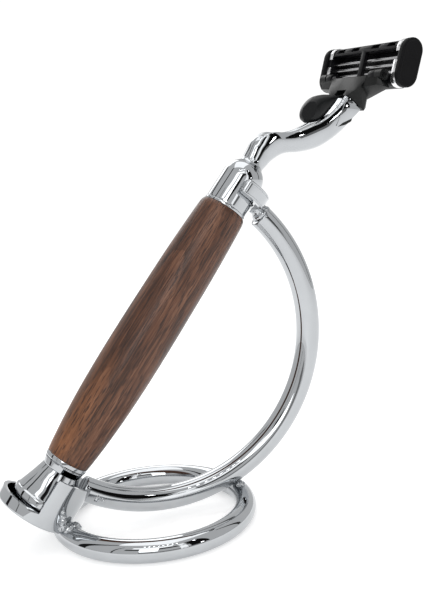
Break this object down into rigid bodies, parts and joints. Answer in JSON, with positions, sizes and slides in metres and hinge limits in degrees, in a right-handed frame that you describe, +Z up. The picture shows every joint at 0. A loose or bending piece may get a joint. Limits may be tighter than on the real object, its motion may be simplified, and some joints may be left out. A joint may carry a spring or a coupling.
{
  "type": "razor stand",
  "caption": "Chrome rod stand with a foot ring, an arc, a cradle cup and an open fork, holding a wood-handled cartridge razor at a slant.",
  "frame": {"origin": "centre of the foot ring, on the surface that the stand rests on", "axes": "+Z up; +X from the cup towards the razor's head; the stand is symmetric about the XZ plane, and the razor is turned 9 degrees in its cup"},
  "size_m": [0.125, 0.058, 0.1328],
  "materials": {
    "chrome": "mirror polished plating",
    "grip_wood": "satin oiled, grain along the handle",
    "steel": "bright steel",
    "blade_steel": "ground and polished",
    "button_plastic": "soft satin",
    "dock_plastic": "satin moulded",
    "cartridge_plastic": "moulded",
    "cap_plastic": "fine texture",
    "strip": "waxy",
    "guard_rubber": "soft",
    "clip_metal": "bright rolled strip"
  },
  "bodies": {
    "stand": {"foot_ring": "chrome", "arc_rod": "chrome", "cradle_cup": "chrome", "rest_fork": "chrome", "fork_collar": "chrome", "braze_beads": "chrome"},
    "handle": {"end_bell": "chrome", "lower_ferrule": "chrome", "grip_barrel": "grip_wood", "tie_stud": "steel", "grip_washer": "chrome", "upper_ferrule": "chrome", "neck": "chrome", "button_spring": "steel", "plunger_spring": "steel"},
    "button": {"release_button": "button_plastic"},
    "plunger_body": {"plunger": "dock_plastic"},
    "dock": {"cartridge_dock": "dock_plastic", "pivot_pins": "steel"},
    "cartridge": {"cartridge_frame": "cartridge_plastic", "support_lower": "steel", "support_middle": "steel", "support_upper": "steel", "blade_lower": "blade_steel", "blade_middle": "blade_steel", "blade_upper": "blade_steel", "lubricating_strip": "strip", "guard_fins": "guard_rubber", "near_cap": "cap_plastic", "far_cap": "cap_plastic", "near_clip": "clip_metal", "far_clip": "clip_metal"}
  },
  "joints": [
    {"name": "razor_lift_off", "type": "slide", "parent": "stand", "child": "handle", "axis": [0, 0, 1], "range_m": [0, 0.06]},
    {"name": "button_slide", "type": "slide", "parent": "handle", "child": "button", "axis": [0.6143, 0, 0.7891], "range_m": [0, 0.002], "stiffness_N_per_m": 400, "springref_m": -0.001, "deforming": ["button_spring"]},
    {"name": "dock_release", "type": "slide", "parent": "handle", "child": "dock", "axis": [0.6143, 0, 0.7891], "range_m": [0, 0.008]},
    {"name": "cartridge_pivot", "type": "hinge", "parent": "dock", "child": "cartridge", "pos_m": [0.07082, 0.00203, 0.12141], "axis": [-0.1234, 0.9877, 0.0961], "range_deg": [-38, 0], "stiffness_Nm_per_rad": 0.01, "springref_deg": 17.19},
    {"name": "plunger_slide", "type": "slide", "parent": "handle", "child": "plunger_body", "axis": [0.6143, 0, 0.7891], "range_m": [-0.0021, 0], "deforming": ["plunger_spring"]}
  ],
  "couplings": [
    {"joint": "plunger_slide", "follows": "cartridge_pivot", "m_per_rad": 0.003}
  ]
}
